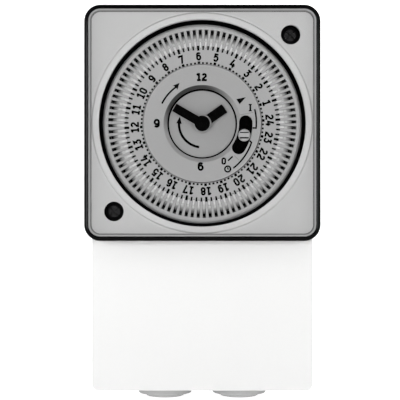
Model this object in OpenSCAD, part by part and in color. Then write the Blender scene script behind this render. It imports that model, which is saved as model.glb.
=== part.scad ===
// Surface-mounted 24-hour segment time switch: a 72 mm square clockwork-style
// front module on a wall box with a pull-off terminal cover.
// Built lying on its back (X right, Y up, Z towards the user), then stood upright:
// the wall plane is Y = 0, the front faces -Y, and the dial axis is X = 0, Z = 0.
// Comments on the pieces use the lying frame.

/* [Front module] */
// Width and height of the square front
face_w = 72; // [71:0.5:74]
// Corner radius of the front
face_r = 5; // [4:0.5:6]
// Thickness of the dark rim round the front
rim_t = 1.3; // [1.1:0.1:1.5]
// Radius of the round opening over the dial
dial_open_r = 31.65; // [31.5:0.05:32]
// How far the module stands in front of the wall box
front_h = 11; // [10.5:0.5:12]

/* [Dial] */
// Outer radius of the 24-hour dial
dial_r = 30.8; // [30.5:0.05:31]
// Number of switching segments round the dial
segments = 96; // [96]
// Travel of one segment between off and on
seg_travel = 1.1; // [1.0:0.05:1.1]
// Angle of the midnight mark from the right-hand horizontal
dial_zero = 3.1; // [0:0.1:3.7]
// Radius of the fixed scale disc inside the dial
scale_r = 18.2; // [18:0.05:18.3]
// Radius of the well that holds the hands
well_r = 10.75; // [10.6:0.05:10.8]

/* [Hands] */
// Length of the minute hand
minute_len = 9.9; // [9:0.1:10]
// Length of the hour hand
hour_len = 8.35; // [7.5:0.1:8.6]
// Time shown, in minutes after midnight
time_min = 110; // [110]

/* [Wall box] */
// Width of the wall box
box_w = 68.8; // [68.4:0.1:69.6]
// Top of the wall box above the dial axis
box_top = 34; // [33.5:0.5:35]
// Bottom of the wall box below the dial axis
box_bot = 83; // [82:0.5:86]
// Depth of the wall box
box_d = 37; // [37]
// Depth of the back half of the box, behind the terminal cover
base_d = 23; // [23]
// Wall thickness of the box
wall = 2.2; // [2:0.1:2.4]
// Distance of each cable grommet from the middle
grommet_x = 12.2; // [12:0.1:13]
// Spacing of the wall fixing holes, left to right
fix_x = 52; // [50:1:54]
// Spacing of the wall fixing holes, top to bottom
fix_y = 86; // [84:1:88]

/* [Gears] */
// Tooth size of the wheels that drive the hour hand and the dial
gear_m = 0.5; // [0.5]
// Play between meshing teeth
backlash = 0.16; // [0.14:0.01:0.2]

/* [Hidden] */
NODES = ["back_box", "terminal_cover", "cable_grommets", "cord_clamps", "cord_clamp_screws",
  "earth_terminal", "earth_terminal_screw",
  "module_case", "case_screws", "bezel_frame", "face_plate", "clear_cover", "fixing_screws",
  "terminal_clamps", "terminal_screws",
  "rear_movement_plate", "front_movement_plate", "spacer_pillars", "movement_screws",
  "motor_can", "motor_end_plate", "motor_screws", "motor_pinion",
  "centre_wheel", "minute_arbor", "minute_wheel", "minute_wheel_arbor", "hour_wheel",
  "dial_drive_wheel", "dial_drive_arbor", "dial_drive_pinion",
  "dial_ring", "segments_ring", "segment_1", "segment_2", "segment_3", "segment_4",
  "scale_plate", "well_disc", "hour_hand", "minute_hand",
  "override_slider", "override_knob",
  "switch_feeler", "feeler_spring", "feeler_clip",
  "switch_body", "switch_plunger", "switch_blades", "switch_screws",
  "motor_leads", "switch_leads"];
node = "all";
$fn = 48;

// Heights above the wall plane
z_case = 9;            // back of the module case
z_rear = 21;           // back of the rear movement plate
rear_t = 1.2;
z_front = 30;          // back of the front movement plate
front_t = 1.4;
z_flange = box_d;      // underside of the bezel, on the box rim
z_top = box_d + front_h;
z_face = z_top - 2.0;  // face plate surface
face_t = 1.6;
z_ledge = z_face - face_t;
z_dial_back = 38.6;
z_dial = 42.2;         // printed surface of the dial
z_scale = 43.0;        // surface of the scale disc
z_well = 40.8;         // floor of the well

// Corner screws: fixing screws at upper right and lower left, case screws at the other two
screw_xy = 27;
fixing_corners = [for (s = [1, -1]) [s * screw_xy, s * screw_xy]];
case_corners = [for (s = [1, -1]) [s * screw_xy, -s * screw_xy]];
corners = concat(fixing_corners, case_corners);

// ---------- shared shapes ----------
function polar(r, a) = [r * cos(a), r * sin(a)];
function span(middle, half) = [middle - half, middle + half];
function arc(r, a0, a1, n) = [for (k = [0:n]) polar(r, a0 + (a1 - a0) * k / n)];
// rectangle round the origin, each corner in n steps
function rounded_rect(w, h, r, n = 8) = [for (quarter = [0:3], i = [0:n])
  let (
    cx = (quarter == 0 || quarter == 3 ? 1 : -1) * (w / 2 - r),
    cy = (quarter < 2 ? 1 : -1) * (h / 2 - r)
  )
  [cx, cy] + polar(r, quarter * 90 + 90 * i / n)];

module upright() { rotate([90, 0, 0]) children(); }
module at(p) { translate([p[0], p[1], 0]) children(); }
module at_each(points) { for (p = points) at(p) children(); }
module plate(points, z0, z1) {
  translate([0, 0, z0]) linear_extrude(height = z1 - z0) polygon(points);
}
module rod(r, z0, z1) { translate([0, 0, z0]) cylinder(r = r, h = z1 - z0); }
// cylinder running from p towards +Y
module rod_y(p, r, h) { translate(p) rotate([-90, 0, 0]) cylinder(r = r, h = h); }
module tube(outer_r, inner_r, z0, z1) {
  difference() {
    rod(outer_r, z0, z1);
    rod(inner_r, z0 - 1, z1 + 1);
  }
}
// block given by its [from, to] range on each axis
module box(x, y, z) {
  translate([x[0], y[0], z[0]]) cube([x[1] - x[0], y[1] - y[0], z[1] - z[0]]);
}
// part of a flat ring between radii r0 and r1 and angles a0 and a1
module sector(r0, r1, a0, a1, z0, z1) {
  translate([0, 0, z0]) rotate([0, 0, a0])
    rotate_extrude(angle = a1 - a0) translate([r0, 0]) square([r1 - r0, z1 - z0]);
}
// curved slot with round ends: outline of half width half_w about radius r
module arc_slot(r, half_w, a0, a1, z0, z1)
  plate(concat(
    arc(r + half_w, a0, a1, 20),
    [for (q = arc(half_w, a1, a1 + 180, 12)) polar(r, a1) + q],
    arc(r - half_w, a1, a0, 20),
    [for (q = arc(half_w, a0 + 180, a0 + 360, 12)) polar(r, a0) + q]), z0, z1);

module pan_head(r, h) {
  rotate_extrude()
    polygon([[0, 0], [r, 0], [r, h * 0.45], [r * 0.86, h * 0.8], [r * 0.6, h], [0, h]]);
}
module cross_recess(r, z1, depth) {
  for (a = [45, 135]) rotate([0, 0, a])
    translate([-r * 0.62, -r * 0.11, z1 - depth]) cube([r * 1.24, r * 0.22, depth + 1]);
}
module slot_recess(r, z1, depth) {
  translate([-r - 1, -r * 0.14, z1 - depth]) cube([2 * r + 2, r * 0.28, depth + 1]);
}
// pan-head screw from the height of its tip to its seat, with the head above the seat
module screw(shank_r, tip, seat, head_r, head_h, recess, slotted = false)
  difference() {
    union() {
      rod(shank_r, tip, seat + 0.2);
      translate([0, 0, seat]) pan_head(head_r, head_h);
    }
    if (slotted) slot_recess(head_r, seat + head_h, recess);
    else cross_recess(head_r, seat + head_h, recess);
  }

// ---------- gear geometry ----------
// angle between a tooth flank at radius r and its start on the base circle
function involute(r, base_r) =
  r <= base_r ? 0 : sqrt(pow(r / base_r, 2) - 1) * 180 / PI - acos(base_r / r);
// outline of an external gear with a tooth centred on angle phase
function gear_points(teeth, size, phase) =
  let (
    steps = 3,             // steps up each flank
    pressure_a = 25,
    addendum = 0.8,
    dedendum = 1.05,
    pitch_r = size * teeth / 2,
    base_r = pitch_r * cos(pressure_a),
    tip_r = pitch_r + addendum * size,
    root_r = pitch_r - dedendum * size,
    start_r = max(base_r, root_r),
    half_a = (PI * size / 4 - backlash / 4) / pitch_r * 180 / PI + involute(pitch_r, base_r),
    flank = [for (j = [0:steps])
      let (r = start_r + (tip_r - start_r) * j / steps)
      [r, half_a - involute(r, base_r)]]
  )
  [for (i = [0:teeth - 1]) let (mid = phase + i * 360 / teeth) each concat(
    start_r > root_r ? [polar(root_r, mid - half_a)] : [],
    [for (j = [0:steps]) polar(flank[j][0], mid - flank[j][1])],
    [for (j = [steps:-1:0]) polar(flank[j][0], mid + flank[j][1])],
    start_r > root_r ? [polar(root_r, mid + half_a)] : [])];
// phase of a wheel that meshes with a first wheel when it lies at angle bearing from it
function mesh_phase(first_phase, first_teeth, teeth, bearing) =
  let (steps_round = (bearing - first_phase) * first_teeth / 360)
  bearing + 180 + (steps_round - 0.5) * 360 / teeth;
module gear(teeth, size, phase, z0, h) {
  translate([0, 0, z0]) linear_extrude(height = h) polygon(gear_points(teeth, size, phase));
}
// ring of n round holes through a wheel, centred at radius ring_r
module web_holes(n, ring_r, hole_r, start_a, z0, z1) {
  for (i = [0:n - 1]) at(polar(ring_r, i * 360 / n + start_a)) rod(hole_r, z0, z1);
}

// ---------- wall box ----------
half_w = box_w / 2;
box_cy = (box_top - box_bot) / 2;
box_len = box_top + box_bot;
floor_t = 2.4;                  // back of the box
split_y = -face_w / 2 - 0.15;   // the terminal cover starts just below the bezel
fix_mid_y = -32;                // middle of the wall fixing holes
knockout_y = -58;
entry_z = 13;                   // axis height of the cable entries
clamp_y = -68;
clamp_xs = [-grommet_x, grommet_x];
clamp_screw_points = [for (x = clamp_xs, s = [-1, 1]) [x + s * 8.5, clamp_y]];
earth_x = 26;
earth_y = -60;

// rounded box outline, with less taken off its full width and length
module box_slab(less, r, z0, z1) {
  translate([0, box_cy, 0]) plate(rounded_rect(box_w - less, box_len - less, r), z0, z1);
}

module back_box() color("white") {
  difference() {
    union() {
      difference() {
        box_slab(0, 2, 0, box_d);
        box_slab(2 * wall, 1.2, floor_t, box_d + 1);
        // the lower front is the terminal cover's
        box(span(0, half_w + 1), [-box_bot - 1, split_y], [base_d, box_d + 1]);
      }
      // bosses for the two fixing screws, and rests under the other two corners
      at_each(corners) rod(4, floor_t, z_case);
      at_each(clamp_screw_points) rod(2.6, floor_t, 9);
      // cord saddle ribs
      for (x = clamp_xs) box(span(x, 5.6), span(clamp_y, 1), [floor_t, 6.5]);
      // earth terminal seat
      box(span(earth_x, 4.5), span(earth_y, 4), [floor_t, 5]);
      // ribs either side of the knock-out in the back
      for (x = [-13, 13]) box(span(x, 0.6), span(knockout_y, 4), [floor_t, 4.4]);
    }
    at_each(fixing_corners) rod(1.65, 3.2, z_case + 1);
    at_each(clamp_screw_points) rod(1.3, 3.4, 10);
    // wall fixing holes, countersunk square
    for (sx = [-1, 1], sy = [-1, 1]) at([sx * fix_x / 2, fix_mid_y + sy * fix_y / 2]) {
      rod(2.25, -1, 3.4);
      rod(4.2, 1.6, 6);
    }
    // cable entries in the bottom wall
    for (x = clamp_xs) rod_y([x, -box_bot - 1, entry_z], 8, wall + 2);
    at([earth_x, earth_y]) rod(1.3, 3, 6);
    // break-out line of the rear cable entry
    at([0, knockout_y]) tube(8.5, 8.0, 1.2, 2.5);
    // ventilation slots in the top wall
    for (i = [-2:2]) box(span(i * 8, 2.2), [box_top - wall - 1, box_top + 1], [18, 19.6]);
  }
}

module terminal_cover() color("white") {
  cover_y = split_y - 0.05;
  difference() {
    union() {
      // shell
      difference() {
        intersection() {
          box_slab(0, 2, base_d + 0.05, box_d);
          box(span(0, half_w + 1), [-box_bot - 1, cover_y], [base_d, box_d + 1]);
        }
        intersection() {
          box_slab(2 * wall, 1.2, base_d - 1, box_d - 2.2);
          box(span(0, half_w), [-box_bot, cover_y + 1], [base_d - 1, box_d]);
        }
      }
      // locating lip inside the back box
      difference() {
        intersection() {
          union() {
            box_slab(2 * wall + 0.3, 1.1, base_d - 2.5, base_d + 3);
            box_slab(wall, 1.1, base_d + 0.05, base_d + 3);
          }
          box(span(0, half_w), [-box_bot, split_y - 8], [base_d - 3, base_d + 4]);
        }
        intersection() {
          box_slab(2 * wall + 2.7, 1, base_d - 4, base_d + 5);
          box(span(0, half_w), [-box_bot, split_y + 1], [base_d - 5, base_d + 6]);
        }
      }
      // stiffening ribs
      for (x = [-16, 16])
        box(span(x, 0.7), [-box_bot + wall, cover_y - 4], [box_d - 4.6, box_d - 2.0]);
    }
    // room for the grommet flanges behind the lip
    for (x = clamp_xs) rod_y([x, -box_bot + wall - 0.01, entry_z], 10.4, 3);
  }
}

// [radius, distance outwards from the inner face of the bottom wall]
grommet_profile = [
  [0, -1.4], [9.9, -1.4], [9.9, -0.05], [7.9, -0.05],
  [7.9, wall + 0.05], [8.8, wall + 0.05], [8.75, wall + 3.6], [8.5, wall + 3.85],
  [6.5, wall + 3.85], [6.3, wall + 4.6], [5.9, wall + 4.85], [0, wall + 4.85]];
module cable_grommets() color("gainsboro")
  for (x = clamp_xs) translate([x, -box_bot + wall, entry_z])
    rotate([90, 0, 0]) rotate_extrude() polygon(grommet_profile);

module cord_clamps() color("white")
  difference() {
    for (x = clamp_xs) {
      at([x, clamp_y]) plate(rounded_rect(22.4, 6, 2), 9, 11.4);
      box(span(x, 5.4), span(clamp_y, 0.8), [8.2, 9.5]);
    }
    at_each(clamp_screw_points) rod(1.6, 8, 12);
  }
module cord_clamp_screws() color("silver")
  at_each(clamp_screw_points)
    screw(shank_r = 1.25, tip = 4, seat = 11.4, head_r = 2.6, head_h = 1.8, recess = 1.1);

module earth_terminal() color("goldenrod")
  difference() {
    box(span(earth_x, 4), span(earth_y, 3.5), [5, 12]);
    rod_y([earth_x, -70, 8.3], 1.7, 20);
    at([earth_x, earth_y]) {
      rod(1.6, 8.3, 13);
      rod(1.25, 4, 8.3);
    }
  }
module earth_terminal_screw() color("silver")
  at([earth_x, earth_y])
    screw(shank_r = 1.55, tip = 9.2, seat = 12.4, head_r = 2.8, head_h = 1.8, recess = 0.9,
      slotted = true);

// ---------- front module ----------
case_half = 31;        // half width of the module case
case_wall = 1.6;
term_xs = [for (i = [-2:2]) i * 11.6];
term_screw_y = -42;
z_term_bore = 15.5;
z_lead = 17.8;
// the outer wire ways are moved in, clear of the corner columns
function way_x(x) = abs(x) > 20 ? x - 2 * sign(x) : x;
// pillars that carry the movement
posts = [[-26.3, 8], [-1, 25.5], [7, -25.5], [21.5, 21.5]];

module module_case() color("dimgray") {
  difference() {
    union() {
      difference() {
        plate(rounded_rect(2 * case_half, 2 * case_half, 2.5), z_case, z_flange);
        plate(rounded_rect(2 * (case_half - case_wall), 2 * (case_half - case_wall), 1.5),
          z_case + case_wall, z_flange + 1);
      }
      // terminal shelf
      box(span(0, 30.2), [-50, -case_half + case_wall], [z_case, 24]);
      at_each(corners) rod(3.6, z_case, z_flange);
      at_each(posts) rod(2.4, z_case + 1, z_rear);
    }
    at_each(fixing_corners) rod(1.9, z_case - 1, z_flange + 1);
    at_each(case_corners) {
      rod(1.6, z_case - 1, z_flange + 1);
      rod(3.0, z_case - 1, z_case + 3);
    }
    at_each(posts) rod(1.05, z_case + 3, z_rear + 1);
    for (x = term_xs) {
      // terminal chamber, open to the front, with a wire way out of the bottom
      box(span(x, 4.6), [-48, -33.5], [11, 25]);
      rod_y([x, -51, z_term_bore], 2.3, 5);
      // wire way from the chamber into the case
      rod_y([way_x(x), -34, z_lead], 1.2, 6);
    }
  }
}
// put in from the back
module case_screws() color("silver")
  at_each(case_corners) mirror([0, 0, 1])
    screw(shank_r = 1.35, tip = -41.5, seat = -(z_case + 3), head_r = 2.7, head_h = 2.2,
      recess = 1.2);

inner_w = face_w - 2 * rim_t;
inner_r = face_r - rim_t;
module square_slab(w, r, z0, z1) { plate(rounded_rect(w, w, r, 10), z0, z1); }

module bezel_frame() color("black") {
  difference() {
    union() {
      difference() {
        square_slab(face_w, face_r, z_flange, z_top);
        square_slab(inner_w, inner_r, z_flange + 1.2, z_top + 1);
      }
      // ledge that carries the face plate
      difference() {
        square_slab(inner_w + 0.2, inner_r, z_flange + 1.2, z_ledge);
        square_slab(inner_w - 2.4, 2.6, z_flange + 1, z_top);
      }
      at_each(corners) rod(3.9, z_flange + 0.5, z_ledge);
    }
    rod(29.3, z_flange - 1, z_flange + 2);
    at_each(fixing_corners) {
      rod(1.9, z_flange - 1, z_flange + 5);
      rod(3.1, z_flange + 4, z_top);
    }
    at_each(case_corners) {
      rod(1.4, z_flange - 1, 42);
      rod(1.25, 42, z_top);
    }
  }
}
// bevelled lip round the dial opening: [radius, height above its foot]
lip_profile = [[dial_open_r - 2, 0], [33.85, 0], [33.85, 0.5], [33.4, 0.9],
  [dial_open_r + 0.3, 0.9], [dial_open_r - 2, 0.9]];
module face_plate() color("lightgray") {
  difference() {
    union() {
      square_slab(inner_w - 0.2, inner_r - 0.1, z_ledge, z_face);
      translate([0, 0, z_face - 0.5]) rotate_extrude() polygon(lip_profile);
      // locating pegs
      at_each(case_corners) rod(1.2, z_face - 3.6, z_face - 1);
    }
    rod(dial_open_r, z_face - 3, z_top);
    at_each(fixing_corners) rod(3.0, z_face - 3, z_top);
  }
}
module clear_cover() color("white", 0.25) {
  cover_w = inner_w - 0.3;
  difference() {
    square_slab(cover_w, inner_r - 0.15, z_face + 0.05, z_top + 0.4);
    square_slab(cover_w - 1.2, 3.0, z_face - 1, z_top - 0.8);
  }
}
module fixing_screws() color("black")
  at_each(fixing_corners)
    screw(shank_r = 1.6, tip = 4.2, seat = z_flange + 4, head_r = 2.85, head_h = 2.2,
      recess = 1.4);

module terminal_clamps() color("goldenrod")
  for (x = term_xs) difference() {
    box(span(x, 4.3), [-46.5, -35.5], [11, 20]);
    rod_y([x, -47, z_term_bore], 1.9, 13);
    at([x, term_screw_y]) rod(1.6, z_term_bore, 21);
  }
module terminal_screws() color("silver")
  for (x = term_xs) at([x, term_screw_y])
    screw(shank_r = 1.55, tip = 16.3, seat = 20.4, head_r = 2.9, head_h = 2.0, recess = 1.0,
      slotted = true);

// ---------- movement layout ----------
// teeth; the drive wheel and drive pinion turn the dial
motor_teeth = 10;
centre_teeth = 60;
cannon_teeth = 20;
minute_teeth = 48;
minute_pinion_teeth = 12;
hour_teeth = 60;
drive_teeth = 30;
drive_pinion_teeth = 18;
dial_teeth = 72;

// bearing of each outer shaft from the dial axis
motor_a = 180;
minute_shaft_a = 225;
drive_a = 135;

// shaft centres and the tooth sizes that go with them
motor_gear_m = 0.4;
motor_point = polar((motor_teeth + centre_teeth) * motor_gear_m / 2, motor_a);
minute_dist = (minute_pinion_teeth + hour_teeth) * gear_m / 2;
minute_gear_m = 2 * minute_dist / (cannon_teeth + minute_teeth);
minute_point = polar(minute_dist, minute_shaft_a);
drive_point = polar((hour_teeth + drive_teeth) * gear_m / 2, drive_a);

// phase of the first wheel in each train is free, its mates follow
hour_phase = 1.3;
minute_pinion_phase = mesh_phase(hour_phase, hour_teeth, minute_pinion_teeth, minute_shaft_a);
drive_phase = mesh_phase(hour_phase, hour_teeth, drive_teeth, drive_a);
cannon_phase = 4;
minute_phase = mesh_phase(cannon_phase, cannon_teeth, minute_teeth, minute_shaft_a);
centre_phase = 2;
motor_phase = mesh_phase(centre_phase, centre_teeth, motor_teeth, motor_a);
drive_pinion_phase = mesh_phase(dial_zero, dial_teeth, drive_pinion_teeth, drive_a);

motor_x = -9;
motor_screw_points = [for (s = [-1, 1]) [motor_x, s * 18.5]];
motor_end_t = 1.0;
z_motor_end = z_rear - motor_end_t;

override_a = -15.6;    // knob at the middle (automatic) position
override_r = 13.4;
slider_z = [29.0, 29.75];

feeler_pivot = [21.5, 3];
feeler_tail = [26.5, 0.2];
feeler_nose = polar(27.8, 30);
feeler_z = [31.9, 33.1];
leaf_centre = [22.5, -3.0];
leaf_r = 4.565;

switch_x = [18.7, 28.2];
switch_y = [-20.5, -3.2];
switch_screw_points = [[23.5, -6], [23.5, -18]];
blade_x = 20.5;
blade_ys = [for (i = [0:2]) -18.9 + i * 5];
z_plunger = 25.8;

// ---------- movement plates and motor ----------
// square with cut corners
module movement_slab(z0, z1, half = 28.6, cut = 11) {
  short = half - cut;
  plate([[half, short], [short, half], [-short, half], [-half, short],
    [-half, -short], [-short, -half], [short, -half], [half, -short]], z0, z1);
}
// holes that both movement plates share
module shaft_and_post_holes(z0, z1) {
  at(minute_point) rod(0.65, z0, z1);
  at(drive_point) rod(0.8, z0, z1);
  at_each(posts) rod(1.15, z0, z1);
}
module rear_movement_plate() color("silver") {
  z0 = z_rear - 1;
  z1 = z_rear + 2;
  difference() {
    movement_slab(z_rear, z_rear + rear_t);
    rod(0.8, z0, z1);
    at(motor_point) rod(2.6, z0, z1);
    shaft_and_post_holes(z0, z1);
    at_each(motor_screw_points) rod(1.15, z0, z1);
    at_each(switch_screw_points) rod(0.85, z0, z1);
    for (y = blade_ys) box(span(blade_x, 0.6), span(y, 1.7), [z0, z1]);
  }
}
module front_movement_plate() color("darkgray") {
  z0 = z_front - 1;
  z1 = z_front + 2;
  difference() {
    union() {
      movement_slab(z_front, z_front + front_t);
      // bearing collar of the dial, also the seat of the scale disc
      tube(15.75, 15.0, z_front + 1, z_scale - 1.2);
      // shoulder the dial rests on
      tube(17.0, 15.0, z_front + 1, 33.15);
      // centre tower: carries the well disc, and the hour tube turns in it
      rod(4.6, z_front, z_well - 0.9);
      // bush for the override slider
      rod(4.0, z_front - 1.1, z_front + 0.5);
      at(feeler_pivot) rod(1.0, z_front + 1, 35.2);
      // slit peg for the leaf spring
      at(leaf_centre + polar(leaf_r, -75)) rod(1.3, z_front + 1, 33.2);
    }
    rod(2.25, z_front - 2, z_well);
    shaft_and_post_holes(z0, z1);
    // clearance round the feeler's tail pin
    at([26.25, -0.15]) rod(1.9, z0, z1);
    leaf(0.12, -100, 31.9, 34);
    // arc slot for the override stem
    arc_slot(override_r, 1.25, override_a - 19, override_a + 19, z0, z1);
  }
}
module spacer_pillars() color("silver")
  at_each(posts) tube(2.0, 1.1, z_rear + rear_t, z_front);
module movement_screws() color("silver")
  at_each(posts)
    screw(shank_r = 1.0, tip = 13, seat = z_front + front_t, head_r = 1.9, head_h = 1.2,
      recess = 0.7);

module motor_can() color("lightgray")
  at([motor_x, 0]) difference() {
    union() {
      rod(15, z_case + 1.9, z_motor_end);
      rod(15.6, z_motor_end - 1.0, z_motor_end);
    }
    rod(14.4, z_case + 2.5, z_rear);
  }
module motor_end_plate() color("silver")
  difference() {
    union() {
      at([motor_x, 0]) rod(15.6, z_motor_end, z_rear);
      at_each(motor_screw_points) rod(2.6, z_motor_end, z_rear);
      box(span(motor_x, 2.6), span(0, 18.5), [z_motor_end, z_rear]);
      // coil and gearbox block behind the end plate
      at([motor_x, 0]) rod(14.2, z_case + 2.8, z_rear - 0.9);
      // gearbox nose
      at(motor_point) rod(2.4, z_rear - 0.5, z_rear + 1.0);
    }
    at(motor_point) rod(0.8, z_rear - 7, z_rear + 2);
    at_each(motor_screw_points) rod(1.15, z_rear - 2, z_rear + 1);
  }
// put in from the back
module motor_screws() color("silver")
  at_each(motor_screw_points) mirror([0, 0, 1])
    screw(shank_r = 1.1, tip = -(z_rear + rear_t), seat = -z_motor_end, head_r = 1.9,
      head_h = 1.2, recess = 0.7);

// ---------- gear train ----------
module motor_pinion() color("gold")
  at(motor_point) {
    gear(motor_teeth, motor_gear_m, motor_phase, 22.7, 1.7);
    rod(0.75, z_rear - 6, 22.8);
  }
module centre_wheel() color("gold")
  difference() {
    gear(centre_teeth, motor_gear_m, centre_phase, 22.8, 1.4);
    rod(1.2, 22, 25);
    web_holes(5, 7.2, 2.6, 0, 22, 25);
  }
module minute_arbor() color("silver") {
  rod(0.75, z_rear + 0.1, 22.7);
  // friction seat for the centre wheel
  rod(1.18, 22.65, 25.0);
  // cannon pinion
  gear(cannon_teeth, minute_gear_m, cannon_phase, 24.9, 1.7);
  rod(1.5, 26.5, 42.6);
  // round end for the hand
  rod(0.9, 42.5, 45.0);
}
module minute_wheel() color("gold")
  at(minute_point) {
    difference() {
      gear(minute_teeth, minute_gear_m, minute_phase, 25.0, 1.5);
      rod(0.6, 24, 27);
      web_holes(5, 7.4, 2.6, 20, 24, 27);
    }
    difference() {
      gear(minute_pinion_teeth, gear_m, minute_pinion_phase, 26.5, 2.3);
      rod(0.6, 26, 30);
    }
  }
module minute_wheel_arbor() color("silver")
  at(minute_point) rod(0.6, z_rear + 0.1, z_front + 1.3);
module hour_wheel() color("gold")
  difference() {
    union() {
      gear(hour_teeth, gear_m, hour_phase, 27.2, 1.5);
      rod(2.2, 28, 42.3);
    }
    rod(1.56, 26, 43);
    web_holes(6, 9.4, 3.0, 12, 26, 28.9);
  }
module dial_drive_wheel() color("gold")
  at(drive_point) difference() {
    gear(drive_teeth, gear_m, drive_phase, 27.2, 1.5);
    rod(0.75, 26, 30);
    web_holes(4, 4.4, 1.7, 20, 26, 30);
  }
module dial_drive_arbor() color("silver")
  at(drive_point) rod(0.75, z_rear + 0.1, 35.6);
module dial_drive_pinion() color("ivory")
  at(drive_point) difference() {
    union() {
      gear(drive_pinion_teeth, gear_m, drive_pinion_phase, 33, 2.4);
      rod(2.2, 31.8, 33.1);
    }
    rod(0.75, 31, 36);
  }

// ---------- dial ----------
first_live = 24;       // the four separate segments start here, at 06:00
dial_bore_r = 15.85;
slot_end_r = 29.0;     // outer end of the segment slots
module at_segment(i) {
  rotate([0, 0, dial_zero + 360 / segments * (i + 0.5)]) children();
}

// [radius, height]
dial_profile = [[dial_bore_r, z_dial_back], [dial_r, z_dial_back], [dial_r, z_dial - 1.3],
  [dial_r - 0.25, z_dial - 0.6], [dial_r - 0.7, z_dial - 0.15], [dial_r - 1.3, z_dial],
  [dial_bore_r, z_dial]];
module dial_ring() color("silver")
  difference() {
    union() {
      rotate_extrude() polygon(dial_profile);
      gear(dial_teeth, gear_m, dial_zero, 33.2, z_dial_back - 33.1);
    }
    rod(dial_bore_r, 30, 50);
    // recess under the scale disc
    rod(scale_r + 0.15, z_dial - 0.5, 50);
    // one radial slot a segment, with a slit through the floor for its foot
    for (i = [0:segments - 1]) at_segment(i) {
      box([23.5, 26.5], span(0, 0.34), [z_dial - 2.4, z_dial + 1.6]);
      box([25.35, slot_end_r], span(0, 0.49), [z_dial - 2.4, z_dial + 1.6]);
      box([25.8, 28.55], span(0, 0.45), [z_dial_back - 1, z_dial_back + 3]);
    }
  }

// segment outlines: [radius, height]
seg_back = z_dial - 2.3;
seg_end_r = slot_end_r - seg_travel - 0.08;
tab_outline = [[23.6, seg_back], [23.6, z_dial - 0.05], [23.8, z_dial + 0.2],
  [25.15, z_dial + 0.2], [25.3, z_dial + 0.05], [25.45, z_dial - 0.2], [25.45, seg_back]];
ramp_outline = [[25.4, seg_back], [25.4, z_dial - 0.12], [26.2, z_dial - 0.25],
  [seg_end_r, z_dial - 1.35], [seg_end_r, seg_back],
  [26.9, seg_back], [26.9, 36.2], [25.9, 36.2], [25.9, seg_back]];
// upright prism of width w from an outline in X and Z
module prism(points, w) {
  translate([0, w / 2, 0]) rotate([90, 0, 0]) linear_extrude(height = w) polygon(points);
}
// a narrow tab at the inner end, then a ramp with a foot through the dial's floor
module segment(i) {
  at_segment(i) {
    prism(tab_outline, 0.56);
    prism(ramp_outline, 0.84);
  }
}
module segments_ring() color("whitesmoke")
  for (i = [0:segments - 1]) if (i < first_live || i > first_live + 3) segment(i);
module segment_1() color("whitesmoke") segment(first_live);
module segment_2() color("whitesmoke") segment(first_live + 1);
module segment_3() color("whitesmoke") segment(first_live + 2);
module segment_4() color("whitesmoke") segment(first_live + 3);

// [radius, height]
scale_profile = [[well_r, z_scale - 1.2], [scale_r, z_scale - 1.2], [scale_r, z_scale - 0.15],
  [scale_r - 0.15, z_scale], [well_r + 1.15, z_scale], [well_r, z_scale - 1.0]];
module scale_plate() color("darkgray")
  difference() {
    union() {
      rotate_extrude() polygon(scale_profile);
      // three lugs inside the bearing collar
      for (a = [60, 150, 240]) rotate([0, 0, a])
        box([13.9, 14.9], span(0, 1.5), [z_scale - 3.2, z_scale - 1.1]);
    }
    rod(well_r, z_scale - 5, z_scale + 1);
    arc_slot(override_r, 2.07, override_a - 17.7, override_a + 17.7, z_scale - 2, z_scale + 1);
  }
module well_disc() color("darkgray")
  difference() {
    rod(well_r - 0.45, z_well - 0.9, z_well);
    rod(2.3, z_well - 2, z_well + 1);
  }

// ---------- hands ----------
module hour_hand() color("black")
  difference() {
    union() {
      rotate([0, 0, 90 - time_min * 0.5]) box([2.2, hour_len], span(0, 1.5), [41.5, 42.2]);
      rod(2.75, 41.4, 42.4);
    }
    rod(2.2, 41, 42.31);
    rod(1.6, 41, 43);
  }
module minute_hand() color("black")
  difference() {
    union() {
      rotate([0, 0, 90 - (time_min % 60) * 6])
        box([0, minute_len], span(0, 1.32), [43.4, 44.1]);
      rod(2.35, 42.7, 44.9);
      // domed cap
      translate([0, 0, 44.8])
        rotate_extrude() polygon([[0, 0], [2.35, 0], [2.1, 0.35], [0, 0.55]]);
    }
    rod(0.9, 42, 45.01);
  }

// ---------- override slide ----------
module override_slider() color("dimgray")
  difference() {
    union() {
      rotate([0, 0, override_a]) {
        box([4.6, 24.2], span(0, 1.9), slider_z);
        // stem of the knob
        at([override_r, 0]) rod(1.0, 29.5, z_scale + 1.0);
        // shutter that keeps the slot in the scale disc closed behind the knob
        sector(11.2, 14.7, -37, 37, 40.95, 41.55);
      }
      rod(6.2, slider_z[0], slider_z[1]);
      // cam sector over the switch plunger
      sector(19, 24.2, override_a - 9, override_a + 9, slider_z[0], slider_z[1]);
    }
    rod(4.06, 28, 31);
  }
module override_knob() color("lightgray")
  rotate([0, 0, override_a]) at([override_r, 0]) difference() {
    union() {
      translate([0, 0, z_scale + 0.05])
        rotate_extrude() polygon([[0, 0], [1.9, 0], [1.9, 0.75], [1.65, 1.0], [0, 1.0]]);
      // level grip bar
      rotate([0, 0, -override_a])
        box(span(0, 1.5), span(0, 0.6), [z_scale + 0.9, z_scale + 1.7]);
    }
    rod(1.0, z_scale - 1, z_scale + 1.01);
  }

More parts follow.
